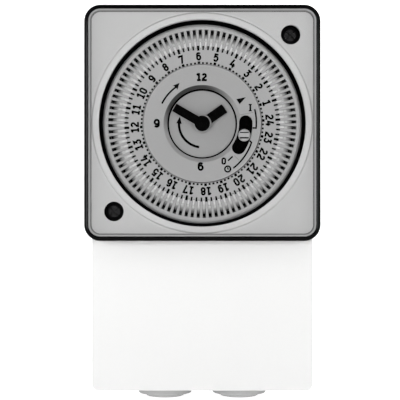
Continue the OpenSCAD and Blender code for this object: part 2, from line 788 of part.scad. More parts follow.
// ---------- switch ----------
// arm from the feeler's pivot to p
module feeler_arm(p, half) {
  reach = p - feeler_pivot;
  at(feeler_pivot) rotate([0, 0, atan2(reach[1], reach[0])])
    box([0, norm(reach)], span(0, half), feeler_z);
}
module switch_feeler() color("ivory")
  difference() {
    union() {
      at(feeler_pivot) rod(2.0, 31.6, 33.6);
      feeler_arm(feeler_nose, 0.9);
      at(feeler_nose) {
        rod(1.15, 31.8, 33.2);
        rod(0.8, 33.0, 36.8);
      }
      feeler_arm(feeler_tail, 0.85);
      at(feeler_tail) {
        rod(1.05, 31.8, 33.2);
        rod(0.8, 25.0, 32.0);
      }
    }
    at(feeler_pivot) rod(1.06, 31, 34);
  }
// curved leaf of half thickness half, starting at angle a0
module leaf(half, a0, z0, z1) {
  at(leaf_centre) sector(leaf_r - half, leaf_r + half, a0, 26.5, z0, z1);
}
module feeler_spring() color("silver") leaf(0.1, -84, 32.0, 33.0);
module feeler_clip() color("silver")
  at(feeler_pivot) difference() {
    rod(2.0, 34.8, 35.1);
    rod(1.0, 34, 36);
    box(span(0, 0.7), [-3, 0], [34, 36]);
  }
module switch_body() color("maroon")
  difference() {
    box(switch_x, switch_y, [z_rear + 1.4, 28.6]);
    // plunger bore
    rod_y([feeler_tail[0], switch_y[1] - 4, z_plunger], 0.95, 5);
    at_each(switch_screw_points) {
      rod(0.95, z_rear, 30);
      rod(1.8, 27.6, 30);
    }
    for (y = blade_ys) box(span(blade_x, 0.5), span(y, 1.5), [z_rear, 24]);
  }
module switch_plunger() color("white")
  rod_y([feeler_tail[0], switch_y[1] - 2.9, z_plunger], 0.88, 5.3);
module switch_blades() color("goldenrod")
  for (y = blade_ys) difference() {
    box(span(blade_x, 0.35), span(y, 1.4), [16.5, 23.9]);
    translate([15, y, z_lead]) rotate([0, 90, 0]) cylinder(r = 0.6, h = 10);
  }
module switch_screws() color("silver")
  at_each(switch_screw_points)
    screw(shank_r = 0.8, tip = z_rear + 0.1, seat = 27.6, head_r = 1.6, head_h = 0.95,
      recess = 0.5, slotted = true);

// ---------- leads ----------
// straight insulated runs joined by short upright cylinders at the corners
module lead(points, r = 0.6) {
  for (i = [0:len(points) - 2]) let (run = points[i + 1] - points[i])
    translate(points[i]) rotate([0, acos(run[2] / norm(run)), atan2(run[1], run[0])])
      cylinder(r = r, h = norm(run), $fn = 24);
  for (i = [1:len(points) - 2]) translate(points[i] - [0, 0, r + 0.1])
    cylinder(r = r + 0.15, h = 2 * r + 0.2, $fn = 24);
}
// a lead from inside the case, through its wall, down behind the clamp and into its bore
module lead_to_terminal(x, points) {
  lead(concat(points,
    [[way_x(x), -34.5, z_lead], [x, -34.5, z_term_bore], [x, -39.5, z_term_bore]]));
}
// a lead from switch blade i by way of [x, y] points
module blade_lead(i, x, via) {
  lead_to_terminal(x, concat([[20.1, blade_ys[i], z_lead]],
    [for (p = via) [p[0], p[1], z_lead]]));
}
module motor_leads() color("steelblue") {
  lead_to_terminal(term_xs[0], [[-17.5, -13.4, 15], [-21.2, -22, z_lead]]);
  lead_to_terminal(term_xs[1], [[-11.6, -14.95, 15], [-11.6, -22, z_lead]]);
}
module switch_leads() color("brown") {
  blade_lead(0, term_xs[4], [[18.6, blade_ys[0]], [18.6, -22.5], [21.2, -26.5]]);
  blade_lead(1, term_xs[3], [[15.5, blade_ys[1]], [11.6, -20]]);
  blade_lead(2, term_xs[2], [[12, blade_ys[2]], [9.5, -16], [0, -22]]);
}

// ---------- nodes ----------
function shown(name) = node == "all" || node == name;
if (shown("back_box")) upright() back_box();
if (shown("terminal_cover")) upright() terminal_cover();
if (shown("cable_grommets")) upright() cable_grommets();
if (shown("cord_clamps")) upright() cord_clamps();
if (shown("cord_clamp_screws")) upright() cord_clamp_screws();
if (shown("earth_terminal")) upright() earth_terminal();
if (shown("earth_terminal_screw")) upright() earth_terminal_screw();
if (shown("module_case")) upright() module_case();
if (shown("case_screws")) upright() case_screws();
if (shown("bezel_frame")) upright() bezel_frame();
if (shown("face_plate")) upright() face_plate();
if (shown("clear_cover")) upright() clear_cover();
if (shown("fixing_screws")) upright() fixing_screws();
if (shown("terminal_clamps")) upright() terminal_clamps();
if (shown("terminal_screws")) upright() terminal_screws();
if (shown("rear_movement_plate")) upright() rear_movement_plate();
if (shown("front_movement_plate")) upright() front_movement_plate();
if (shown("spacer_pillars")) upright() spacer_pillars();
if (shown("movement_screws")) upright() movement_screws();
if (shown("motor_can")) upright() motor_can();
if (shown("motor_end_plate")) upright() motor_end_plate();
if (shown("motor_screws")) upright() motor_screws();
if (shown("motor_pinion")) upright() motor_pinion();
if (shown("centre_wheel")) upright() centre_wheel();
if (shown("minute_arbor")) upright() minute_arbor();
if (shown("minute_wheel")) upright() minute_wheel();
if (shown("minute_wheel_arbor")) upright() minute_wheel_arbor();
if (shown("hour_wheel")) upright() hour_wheel();
if (shown("dial_drive_wheel")) upright() dial_drive_wheel();
if (shown("dial_drive_arbor")) upright() dial_drive_arbor();
if (shown("dial_drive_pinion")) upright() dial_drive_pinion();
if (shown("dial_ring")) upright() dial_ring();
if (shown("segments_ring")) upright() segments_ring();
if (shown("segment_1")) upright() segment_1();
if (shown("segment_2")) upright() segment_2();
if (shown("segment_3")) upright() segment_3();
if (shown("segment_4")) upright() segment_4();
if (shown("scale_plate")) upright() scale_plate();
if (shown("well_disc")) upright() well_disc();
if (shown("hour_hand")) upright() hour_hand();
if (shown("minute_hand")) upright() minute_hand();
if (shown("override_slider")) upright() override_slider();
if (shown("override_knob")) upright() override_knob();
if (shown("switch_feeler")) upright() switch_feeler();
if (shown("feeler_spring")) upright() feeler_spring();
if (shown("feeler_clip")) upright() feeler_clip();
if (shown("switch_body")) upright() switch_body();
if (shown("switch_plunger")) upright() switch_plunger();
if (shown("switch_blades")) upright() switch_blades();
if (shown("switch_screws")) upright() switch_screws();
if (shown("motor_leads")) upright() motor_leads();
if (shown("switch_leads")) upright() switch_leads();
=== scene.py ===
"""A 24-hour dial time switch: a square box with a black rim, a clear cover and a printed dial.

The front faces -Y, +X is to the right and +Z is up. The dial's axis runs along Y through the
origin. Printed shapes are drawn in millimetres on a local plane: x to the right, y up, z towards
the viewer. Everything else is in metres. Angles are in degrees, anticlockwise from the right.
"""
import bpy, bmesh, math
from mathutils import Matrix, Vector


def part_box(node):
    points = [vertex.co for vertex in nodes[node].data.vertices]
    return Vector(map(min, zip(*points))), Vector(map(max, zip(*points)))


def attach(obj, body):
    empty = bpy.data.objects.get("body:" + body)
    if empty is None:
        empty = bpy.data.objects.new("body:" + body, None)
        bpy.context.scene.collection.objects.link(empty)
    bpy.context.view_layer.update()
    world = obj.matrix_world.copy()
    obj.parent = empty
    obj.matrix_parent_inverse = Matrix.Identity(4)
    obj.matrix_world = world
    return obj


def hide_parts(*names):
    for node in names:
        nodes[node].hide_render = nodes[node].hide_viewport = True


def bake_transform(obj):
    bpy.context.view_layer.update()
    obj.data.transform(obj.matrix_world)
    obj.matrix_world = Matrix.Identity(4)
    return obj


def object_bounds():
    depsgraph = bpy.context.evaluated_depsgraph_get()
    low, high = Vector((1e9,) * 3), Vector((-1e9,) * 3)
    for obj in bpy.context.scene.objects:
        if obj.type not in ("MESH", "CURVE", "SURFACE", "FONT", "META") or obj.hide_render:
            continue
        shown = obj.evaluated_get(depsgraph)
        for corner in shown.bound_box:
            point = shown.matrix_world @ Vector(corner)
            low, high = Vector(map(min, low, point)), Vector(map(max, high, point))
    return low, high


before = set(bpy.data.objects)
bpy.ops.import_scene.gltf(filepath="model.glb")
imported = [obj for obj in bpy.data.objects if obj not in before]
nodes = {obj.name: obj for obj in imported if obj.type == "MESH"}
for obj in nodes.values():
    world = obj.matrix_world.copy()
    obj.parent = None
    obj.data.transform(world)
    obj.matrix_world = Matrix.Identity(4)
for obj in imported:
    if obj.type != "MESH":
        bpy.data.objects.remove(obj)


def as_lists(bounds):
    return [[float(c) for c in corner] for corner in bounds]


cad_box = as_lists(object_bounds())


# ------------------------------------------------------------------ levels and places
def front_level(name):
    """Height in mm of a piece's front surface on the drawing plane's z."""
    return -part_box(name)[0].y * 1000.0


RING_STEP = 0.2  # the printed ring lies this far behind the front of the segments, mm
Z_RING = front_level("segments_ring") - RING_STEP
Z_SCALE = front_level("scale_plate")
Z_WELL = front_level("well_disc")


def to_world(x, y, z):
    return Vector((x / 1000.0, -z / 1000.0, y / 1000.0))


def polar(radius, angle):
    return (radius * math.cos(math.radians(angle)), radius * math.sin(math.radians(angle)))


def sweep(radius, start, end, steps, end_radius=None):
    """Points about the dial axis from angle start to end, with an evenly changing radius."""
    growth = 0.0 if end_radius is None else end_radius - radius
    return [polar(radius + growth * i / steps, start + (end - start) * i / steps)
            for i in range(steps + 1)]


def arc(cx, cy, rx, ry, start, end, steps):
    """Points along an elliptical arc about (cx, cy)."""
    angles = [math.radians(start + (end - start) * i / steps) for i in range(steps + 1)]
    return [(cx + rx * math.cos(a), cy + ry * math.sin(a)) for a in angles]


def ellipse(cx, cy, rx, ry, steps):
    return arc(cx, cy, rx, ry, 0, 360, steps)[:-1]


# ------------------------------------------------------------------ shader node helpers
def add_node(tree, kind, inputs=None, **settings):
    """Adds a shader node. An input given as a socket is linked, any other is set as a value."""
    node = tree.nodes.new("ShaderNode" + kind)
    for key, value in settings.items():
        setattr(node, key, value)
    for key, value in (inputs or {}).items():
        if isinstance(value, bpy.types.NodeSocket):
            tree.links.new(value, node.inputs[key])
        else:
            node.inputs[key].default_value = value
    return node


def calculate(tree, operation, *values, use_clamp=False):
    inputs = dict(enumerate(values))
    return add_node(tree, "Math", inputs, operation=operation, use_clamp=use_clamp).outputs[0]


def map_range(tree, value, source=(0.0, 1.0), target=(0.0, 1.0)):
    return add_node(tree, "MapRange", {
        "Value": value, "From Min": source[0], "From Max": source[1],
        "To Min": target[0], "To Max": target[1]}).outputs[0]


def scale_colour(tree, colour, factor):
    return add_node(tree, "VectorMath", {0: colour, "Scale": factor}, operation="SCALE").outputs[0]


def multiply_colours(tree, first, second):
    return add_node(tree, "Mix", {"Factor": 1.0, "A": first, "B": second},
                    data_type="RGBA", blend_type="MULTIPLY").outputs["Result"]


def mix_shaders(tree, factor, first, second):
    return add_node(tree, "MixShader", {0: factor, 1: first, 2: second}).outputs[0]


def split(tree, vector):
    return add_node(tree, "SeparateXYZ", {0: vector}).outputs


def plane_length(tree, first, second):
    """Length of the flat vector with these two components."""
    flat = add_node(tree, "CombineXYZ", {0: first, 1: second}).outputs[0]
    return add_node(tree, "VectorMath", {0: flat}, operation="LENGTH").outputs["Value"]


def axis_distance(tree, coords):
    """Distance from the dial axis, in the piece's own coordinates."""
    place = split(tree, coords.outputs["Object"])
    return plane_length(tree, place["X"], place["Z"])


def eye_value(tree, others, eye):
    """One value for camera rays and another for all other rays."""
    is_eye = add_node(tree, "LightPath").outputs["Is Camera Ray"]
    return map_range(tree, is_eye, target=(others, eye))


def start_material(name):
    mat = bpy.data.materials.new(name)
    mat.use_nodes = True
    mat.node_tree.nodes.clear()
    return mat, mat.node_tree


def set_surface(tree, shader):
    add_node(tree, "OutputMaterial", {0: shader})


# ------------------------------------------------------------------ tints
# Each returns a function (tree, coords, colour) that gives the changed colour.
def radial_split(radius, inside, outside, soft):
    """One grey inside a radius about the dial axis and another outside it."""
    def tint(tree, coords, colour):
        factor = map_range(tree, axis_distance(tree, coords), (radius - soft, radius + soft))
        greys = add_node(tree, "Mix", {"Factor": factor, "A": (inside,) * 3 + (1,),
                                       "B": (outside,) * 3 + (1,)}, data_type="RGBA")
        return multiply_colours(tree, greys.outputs["Result"], colour)
    return tint


def radial_ramp(stops):
    """Multiplies by a grey that changes with the radius: stops are (radius in mm, grey)."""
    first, last = stops[0][0], stops[-1][0]

    def tint(tree, coords, colour):
        along = map_range(tree, axis_distance(tree, coords), (first / 1000.0, last / 1000.0))
        ramp = add_node(tree, "ValToRGB", {0: along})
        elements = ramp.color_ramp.elements
        elements[0].position, elements[0].color = 0.0, (stops[0][1],) * 3 + (1,)
        elements[1].position, elements[1].color = 1.0, (stops[-1][1],) * 3 + (1,)
        for radius, grey in stops[1:-1]:
            elements.new((radius - first) / (last - first)).color = (grey, grey, grey, 1)
        return multiply_colours(tree, ramp.outputs["Color"], colour)
    return tint


def edge_shade(dark):
    """Darkens a surface where it turns away from the eye."""
    def tint(tree, coords, colour):
        facing = add_node(tree, "LayerWeight", {"Blend": 0.5}).outputs["Facing"]
        return scale_colour(tree, colour, map_range(tree, facing, (0.1, 0.75), (1.0, dark)))
    return tint


def slot_depth(rim_radius, y_face, y_deep, dark, rim):
    """Paints shade that deepens with depth behind the printed face inside rim_radius, where the
    slots lie; outside it, scales by rim, a painted brightening of the dial's outer rim.
    """
    soft = 0.00005

    def tint(tree, coords, colour):
        place = split(tree, coords.outputs["Object"])
        # painted shade: darker the deeper a point lies behind the printed face
        depth = map_range(tree, place["Y"], (y_face, y_deep), (1.0, dark))
        radius = plane_length(tree, place["X"], place["Z"])
        # painted light: the outer rim is scaled up by rim
        on_rim = map_range(tree, radius, (rim_radius - soft, rim_radius + soft), (0.0, rim))
        return scale_colour(tree, colour, calculate(tree, "MAXIMUM", depth, on_rim))
    return tint


def bevel_shade(dark):
    """Shades a bevel where it faces downwards and to the right."""
    def tint(tree, coords, colour):
        normal = split(tree, coords.outputs["Normal"])
        lean = calculate(tree, "MULTIPLY_ADD", normal["X"], -0.45, normal["Z"])
        return scale_colour(tree, colour, map_range(tree, lean, (-0.62, -0.1), (dark, 1.0)))
    return tint


# ------------------------------------------------------------------ materials
def material(name, colour, rough=0.5, metal=0.0, grain=2600.0, bump=0.12, vary=0.05,
             rough_vary=0.12, spec=0.5, stretch=(1.0, 1.0, 1.0), tint=None):
    """A moulded, printed or metal surface with a fine grain.

    grain is the scale of the fine noise and stretch its proportions; bump is the relief strength;
    vary and rough_vary are the relative unevenness of colour and roughness.
    """
    mat, tree = start_material(name)
    coords = add_node(tree, "TexCoord")
    mapped = add_node(tree, "Mapping", {0: coords.outputs["Object"], "Scale": stretch}).outputs[0]
    fine = add_node(tree, "TexNoise", {"Vector": mapped, "Scale": grain, "Detail": 4.0})
    broad = add_node(tree, "TexNoise", {
        "Vector": coords.outputs["Object"], "Scale": 55.0, "Detail": 3.0})
    fine, broad = fine.outputs["Fac"], broad.outputs["Fac"]

    noise_span = (0.3, 0.7)  # the part of the noise that covers the whole variation
    mean = calculate(tree, "MULTIPLY", calculate(tree, "ADD", fine, broad), 0.5)
    uneven = scale_colour(tree, colour, map_range(tree, mean, noise_span, (1.0 - vary, 1.0 + vary)))
    if tint:
        uneven = tint(tree, coords, uneven)
    roughness = map_range(tree, broad, noise_span,
                          (rough * (1 - rough_vary), rough * (1 + rough_vary)))
    relief = add_node(tree, "Bump", {"Strength": bump, "Distance": 0.00006, "Height": fine})
    surface = add_node(tree, "BsdfPrincipled", {
        "Base Color": uneven, "Metallic": metal, "Specular IOR Level": spec,
        "Roughness": roughness, "Normal": relief.outputs[0]})
    set_surface(tree, surface.outputs[0])
    return mat


def grey(value):
    return (value, value, value)


# radius in mm and grey across a segment: painted shade, which falls to black at its outer end, deep
# in its slot
SEGMENT_SHADE_STOPS = [(23.5, 0.5), (25.36, 0.5), (25.42, 0.42), (26.4, 0.4), (27.1, 0.27),
                 (27.6, 0.1), (27.85, 0.02), (28.5, 0.005)]

WHITE = material("white_moulding", (0.75, 0.75, 0.746), rough=0.42, grain=1900, bump=0.10,
                 vary=0.012, spec=0.4, tint=edge_shade(dark=0.56))
BLACK = material("black_gloss_moulding", (0.0012, 0.0012, 0.0013), rough=0.09, grain=2400,
                 bump=0.01, vary=0.12, spec=0.08)
FACE = material("silver_grey_face", grey(1.0), rough=0.55, grain=3600, vary=0.03,
                tint=radial_split(radius=0.0337, inside=0.46, outside=0.405, soft=0.0009))
# the dial's grey, with painted shade deep in its slots and painted light (rim=1.2) on its outer rim
DIAL = material("dial_grey", grey(0.3), rough=0.55, grain=3600,
                tint=slot_depth(rim_radius=0.02912, y_face=-0.0419, y_deep=-0.0411,
                                dark=0.01, rim=1.2))
SCALE = material("scale_grey", grey(0.275), rough=0.55, grain=3600, bump=0.1, vary=0.03,
                 tint=bevel_shade(dark=0.1))
WELL = material("well_grey", grey(0.242), rough=0.55, grain=3600, bump=0.1, vary=0.03)
# segments: their grey falls outwards into painted shade where they slope down into their slots
SEGMENT = material("segment_white", grey(1.0), rough=0.38, grain=3000, bump=0.06, vary=0.06,
                   tint=radial_ramp(SEGMENT_SHADE_STOPS))
# black print; the same material also draws the painted shade lines beside the knob's rib
INK_AND_SHADE = material("printed_ink_and_painted_shade", grey(0.002), rough=0.8, grain=5200, bump=0.05, vary=0.25,
               spec=0.004)
INK_GREY = material("printed_hairline", grey(0.16), rough=0.6, grain=5200, bump=0.05, vary=0.1)
HAND = material("hand_black", grey(0.0013), rough=0.7, grain=3200, bump=0.1, vary=0.2, spec=0.01)
HOUR_HAND = material("hour_hand_black", grey(1.0), rough=0.7, grain=3200, bump=0.1, vary=0.1,
                     spec=0.01, tint=radial_split(radius=0.00285, inside=0.3, outside=0.0015,
                                                  soft=0.00004))
KNOB = material("knob_grey", grey(0.295), rough=0.4, grain=2800, bump=0.08)
GROMMET = material("grommet_rubber", grey(0.46), rough=0.6, grain=1500, bump=0.18, vary=0.04)
DARK = material("dark_moulding", (0.018, 0.018, 0.019), grain=2200, bump=0.15, vary=0.12)
# near black with no gloss, darker than a real moulding: painted shade, so that the inside of the
# override slot looks black
SLOT_SHADE_BLACK = material("painted_shade_black", grey(0.001), rough=0.8, grain=2200, bump=0.1,
                      vary=0.15, spec=0.004)
CASE = material("case_moulding", (0.05, 0.05, 0.053), grain=2000, bump=0.18, vary=0.1)
NATURAL = material("natural_acetal", (0.78, 0.75, 0.64), rough=0.35, grain=2200, bump=0.05,
                   vary=0.04)
BLACK_ACETAL = material("black_acetal", (0.004, 0.004, 0.0042), rough=0.6, grain=2200,
                        bump=0.05, vary=0.1, spec=0.05)
STEEL = material("zinc_steel", (0.58, 0.59, 0.6), rough=0.3, metal=1.0, grain=1800, bump=0.1,
                 vary=0.08, rough_vary=0.3)
BLACK_STEEL = material("black_oxide_steel", (0.005, 0.005, 0.0055), metal=0.4, spec=0.25,
                       bump=0.3, vary=0.35)
ALUMINIUM = material("plain_aluminium", (0.74, 0.75, 0.76), rough=0.34, metal=1.0, grain=700,
                     stretch=(1.0, 1.0, 14.0))
BRASS = material("brass", (0.78, 0.58, 0.24), rough=0.28, metal=1.0, grain=1600, bump=0.08,
                 vary=0.08, rough_vary=0.3)
BLUE = material("blue_pvc", (0.03, 0.1, 0.38), rough=0.4, grain=2400, bump=0.05)
BROWN = material("brown_pvc", (0.16, 0.06, 0.02), rough=0.4, grain=2400, bump=0.05)


def clear_material():
    """The clear cover: see-through with a faint gloss, and a painted grey band along its outer
    wall, standing in for the light bent in the wall.
    """
    # the corners' round is measured from a centre this far from the dial axis in x and z
    corner_centre = 0.0310
    # distances from that centre where the band begins, and where it turns from dark to light
    band_start, line_start = (0.00268, 0.00274), (0.00306, 0.00312)
    band_opacity, band_greys = 0.8, (0.11, 0.3)
    gloss_share, gloss_limit = 0.3, 0.07

    mat, tree = start_material("clear_moulding")
    place = add_node(tree, "TexCoord").outputs["Object"]
    noise = add_node(tree, "TexNoise", {"Vector": place, "Scale": 900.0})
    relief = add_node(tree, "Bump", {
        "Strength": 0.004, "Distance": 0.00002, "Height": noise.outputs["Fac"]}).outputs[0]
    clear = add_node(tree, "BsdfTransparent", {0: (0.985, 0.985, 0.985, 1)})
    gloss = add_node(tree, "BsdfGlossy", {"Roughness": 0.06, "Normal": relief})
    fresnel = add_node(tree, "Fresnel", {"IOR": 1.16, "Normal": relief})
    share = calculate(tree, "MULTIPLY", fresnel.outputs[0], gloss_share)
    share = calculate(tree, "MINIMUM", share, gloss_limit)
    window = mix_shaders(tree, share, clear.outputs[0], gloss.outputs[0])

    # the turned-down wall is seen edge-on: a painted dark line and lighter grey band stand in for
    # the light bent and reflected in it
    axes = split(tree, place)
    beyond = []
    for axis in "XZ":
        size = calculate(tree, "ABSOLUTE", axes[axis])
        beyond.append(calculate(tree, "SUBTRACT", size, corner_centre, use_clamp=True))
    distance = plane_length(tree, *beyond)
    band = add_node(tree, "BsdfPrincipled", {
        "Roughness": 0.35, "Specular IOR Level": 0.1,
        "Base Color": map_range(tree, distance, line_start, band_greys)})
    opacity = map_range(tree, distance, band_start, (0.0, band_opacity))
    seen = mix_shaders(tree, opacity, window, band.outputs[0])

    # only the eye sees the gloss and the band: light passes straight through to the dial
    is_eye = add_node(tree, "LightPath").outputs["Is Camera Ray"]
    unseen = add_node(tree, "BsdfTransparent")
    set_surface(tree, mix_shaders(tree, is_eye, unseen.outputs[0], seen))
    return mat


CLEAR = clear_material()

LOOK = {
    # box and connections
    "back_box": WHITE, "terminal_cover": WHITE, "cable_grommets": GROMMET, "cord_clamps": WHITE,
    "cord_clamp_screws": STEEL, "earth_terminal": BRASS, "earth_terminal_screw": STEEL,
    "terminal_clamps": BRASS, "terminal_screws": STEEL,
    # case and front
    "module_case": CASE, "case_screws": STEEL, "bezel_frame": BLACK, "face_plate": FACE,
    "clear_cover": CLEAR, "fixing_screws": BLACK_STEEL,
    # movement
    "rear_movement_plate": ALUMINIUM, "front_movement_plate": SLOT_SHADE_BLACK,
    "spacer_pillars": BRASS, "movement_screws": STEEL, "motor_can": STEEL,
    "motor_end_plate": STEEL, "motor_screws": STEEL, "motor_pinion": BRASS,
    "centre_wheel": BRASS, "minute_arbor": STEEL, "minute_wheel": NATURAL,
    "minute_wheel_arbor": STEEL, "hour_wheel": BLACK_ACETAL, "dial_drive_wheel": NATURAL,
    "dial_drive_arbor": STEEL, "dial_drive_pinion": NATURAL,
    # dial and hands
    "dial_ring": DIAL, "segments_ring": SEGMENT, "segment_1": SEGMENT, "segment_2": SEGMENT,
    "segment_3": SEGMENT, "segment_4": SEGMENT, "scale_plate": SCALE, "well_disc": WELL,
    "hour_hand": HOUR_HAND, "minute_hand": HAND,
    # override and switch
    "override_slider": SLOT_SHADE_BLACK, "override_knob": KNOB, "switch_feeler": NATURAL,
    "feeler_spring": STEEL, "feeler_clip": STEEL, "switch_body": DARK, "switch_plunger": KNOB,
    "switch_blades": BRASS, "switch_screws": STEEL, "motor_leads": BLUE, "switch_leads": BROWN,
}
for name, obj in nodes.items():
    obj.data.materials.clear()
    obj.data.materials.append(LOOK[name])


# ------------------------------------------------------------------ softened edges
def add_modifier(obj, name, kind, **settings):
    modifier = obj.modifiers.new(name, kind)
    for key, value in settings.items():
        setattr(modifier, key, value)


def add_weld(obj):
    add_modifier(obj, "weld", "WELD", merge_threshold=2e-6)


def add_edge_bevel(obj, width):
    """Rounds the sharp edges and evens out the shading."""
    add_modifier(obj, "bevel", "BEVEL", width=width, segments=2, limit_method="ANGLE",
                 angle_limit=math.radians(38))
    add_modifier(obj, "normals", "WEIGHTED_NORMAL", keep_sharp=False, weight=60)


def roll_rim():
    """Rolls the rim's outer front edge over much more than its other edges."""
    corner_radius = 0.005
    outer_from = 0.0049  # vertices further than this from the corner centres are on the outside
    front_tolerance = 1e-5
    rim = nodes["bezel_frame"]
    low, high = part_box("bezel_frame")
    corner_centre = (high.x - low.x) / 2 - corner_radius
    outer = []
    for vertex in rim.data.vertices:
        if vertex.co.y > low.y + front_tolerance:
            continue
        dx = max(0.0, abs(vertex.co.x) - corner_centre)
        dz = max(0.0, abs(vertex.co.z) - corner_centre)
        if math.hypot(dx, dz) > outer_from:
            outer.append(vertex.index)
    rim.vertex_groups.new(name="outer_front").add(outer, 1.0, "REPLACE")
    add_weld(rim)
    add_modifier(rim, "roll", "BEVEL", limit_method="VGROUP", vertex_group="outer_front",
                 width=0.0009, segments=5)
    add_edge_bevel(rim, width=0.00012)


roll_rim()


# ------------------------------------------------------------------ flat printed shapes
class Print:
    """Collects thin closed solids that lie on a printed surface at height z."""

    SINK = 0.012  # how far the solids reach below the surface, mm

    def __init__(self, name, body, z, mat, slot, thickness=0.03):
        self.name, self.body, self.mat, self.slot = name, body, mat, slot
        self.levels = (z - self.SINK, z + thickness)
        self.vertices, self.faces = [], []

    def add_rings(self, *rings):
        """Adds the rings at the low level, then at the high one; returns the first index."""
        first = len(self.vertices)
        for z in self.levels:
            for ring in rings:
                self.vertices += [to_world(x, y, z) for x, y in ring]
        return first

    def polygon(self, points):
        count = len(points)
        area = sum(points[i][0] * points[(i + 1) % count][1]
                   - points[(i + 1) % count][0] * points[i][1] for i in range(count))
        if area < 0:
            points = list(reversed(points))
        low = self.add_rings(points)
        high = low + count
        self.faces.append([high + i for i in range(count)])
        self.faces.append([low + i for i in reversed(range(count))])
        for i in range(count):
            j = (i + 1) % count
            self.faces.append([low + i, low + j, high + j, high + i])

    def stroke(self, points, width, closed=False):
        """A ribbon along the points, mitred at each."""
        line = [Vector(p) for p in points]
        count = len(line)
        left, right = [], []
        for i, point in enumerate(line):
            before = (point - line[i - 1]).normalized() if i > 0 or closed else None
            after = None
            if i < count - 1 or closed:
                after = (line[(i + 1) % count] - point).normalized()
            before = after if before is None else before
            after = before if after is None else after
            along = before + after
            along = along.normalized() if along.length > 1e-6 else before
            across = Vector((-along.y, along.x))
            # the mitre may at most double the half width
            mitre = max(0.5, abs(across.dot(Vector((-before.y, before.x)))))
            left.append(point + across * (width / 2 / mitre))
            right.append(point - across * (width / 2 / mitre))
        first = self.add_rings(left, right)

        def corners(i):
            return [first + ring * count + i for ring in range(4)]

        for i in range(count if closed else count - 1):
            l0, r0, l1, r1 = corners(i)
            next_l0, next_r0, next_l1, next_r1 = corners((i + 1) % count)
            self.faces += [[l1, r1, next_r1, next_l1], [l0, next_l0, next_r0, r0],
                           [l0, l1, next_l1, next_l0], [r0, next_r0, next_r1, r1]]
        if not closed:
            l0, r0, l1, r1 = corners(0)
            self.faces.append([l0, r0, r1, l1])
            l0, r0, l1, r1 = corners(count - 1)
            self.faces.append([l0, l1, r1, r0])

    def arrow_head(self, tip, base, half_width, barb=0.0, notch=0.0):
        """A head whose corners lie barb behind the base; a notch cuts forward into its back."""
        middle = Vector(base)
        along = (Vector(tip) - middle).normalized()
        across = Vector((-along.y, along.x))
        points = [tip, middle + across * half_width - along * barb]
        if notch:
            points.append(middle + along * notch)
        points.append(middle - across * half_width - along * barb)
        self.polygon(points)

    def build(self):
        mesh = bpy.data.meshes.new(self.name)
        mesh.from_pydata([tuple(v) for v in self.vertices], [], self.faces)
        bm = bmesh.new()
        bm.from_mesh(mesh)
        bmesh.ops.recalc_face_normals(bm, faces=bm.faces)
        bm.to_mesh(mesh)
        bm.free()
        mesh.materials.append(self.mat)
        obj = bpy.data.objects.new(self.name, mesh)
        bpy.context.scene.collection.objects.link(obj)
        if self.body:
            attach(obj, self.body)
        return obj


# ------------------------------------------------------------------ numerals
def digit_lines(char, width, pen):
    """Centre lines of a numeral in a box 1 high, as a list of (points, closed)."""
    left, right, bottom, top = pen / 2, width - pen / 2, pen / 2, 1 - pen / 2
    mid = width / 2
    rx = (right - left) / 2
    ry = rx * 1.05
    stem = width * 0.56  # upright of the 1
    post = width * 0.7  # upright of the 4
    lines = {
        "0": [(arc(mid, top - ry, rx, ry, 0, 180, 8)
               + arc(mid, bottom + ry, rx, ry, 180, 360, 8), True)],
        "1": [([(stem, 0), (stem, 1.0)], False),
              ([(stem - pen * 0.2, 0.93), (stem - 0.26, 0.74)], False),
              ([(stem - 0.24, pen / 2), (stem + 0.24, pen / 2)], False)],
        "2": [(arc(mid, top - ry, rx, ry, 172, -28, 9)
               + [(left + 0.02, bottom + 0.14), (left, bottom), (right + pen / 2, bottom)],
               False)],
        "3": [([(left, top), (right - 0.02, top), (mid - 0.02, 0.6)]
               + arc(mid - 0.02, bottom + 0.25, rx + 0.02, 0.25, 75, -165, 10), False)],
        "4": [([(post - 0.12, 1.0), (left, 0.3), (width + 0.02, 0.3)], False),
              ([(post, 0.56), (post, 0)], False)],
        "5": [([(right, top), (left + 0.03, top), (left + 0.01, 0.56)]
               + arc(mid - 0.01, bottom + 0.26, rx + 0.01, 0.27, 110, -160, 10), False)],
        "6": [(ellipse(mid, bottom + 0.25, rx, 0.25, 16), True),
              ([(left, bottom + 0.25), (left + 0.01, 0.6)]
               + arc(mid, top - ry, rx, ry, 170, 30, 7), False)],
        "7": [([(left, 0.74), (left, top), (right, top), (mid - 0.04, 0)], False)],
        "8": [(ellipse(mid, bottom + 0.225, rx, 0.225, 16), True),
              (ellipse(mid, top - 0.19, rx * 0.9, 0.19, 16), True)],
    }
    # the 9 is the 6 turned upside down
    lines["9"] = [([(width - x, 1 - y) for x, y in points], closed)
                  for points, closed in lines["6"]]
    return lines[char]


def draw_number(sheet, text, centre, height, width, pen, turn=0.0, gap=0.11):
    """Numerals centred on a point, turned anticlockwise; width, pen and gap are per height."""
    narrow_one = 0.86  # the 1 takes up this part of a numeral's width
    advances = [width * (narrow_one if char == "1" else 1.0) for char in text]
    cos, sin = math.cos(math.radians(turn)), math.sin(math.radians(turn))
    start = -(sum(advances) + gap * (len(text) - 1)) / 2
    for char, advance in zip(text, advances):
        offset = start - (width - advance) / 2
        for points, closed in digit_lines(char, width, pen):
            placed = []
            for x, y in points:
                u, v = (offset + x) * height, (y - 0.5) * height
                placed.append((centre[0] + u * cos - v * sin, centre[1] + u * sin + v * cos))
            sheet.stroke(placed, pen * height, closed)
        start += advance + gap


# ------------------------------------------------------------------ dial printing
DIAL_TURN = 3.1  # angle of the dial's 24 mark
HOURS = 24
TICKS_PER_HOUR = 4
NUMERAL_RADIUS = 20.8
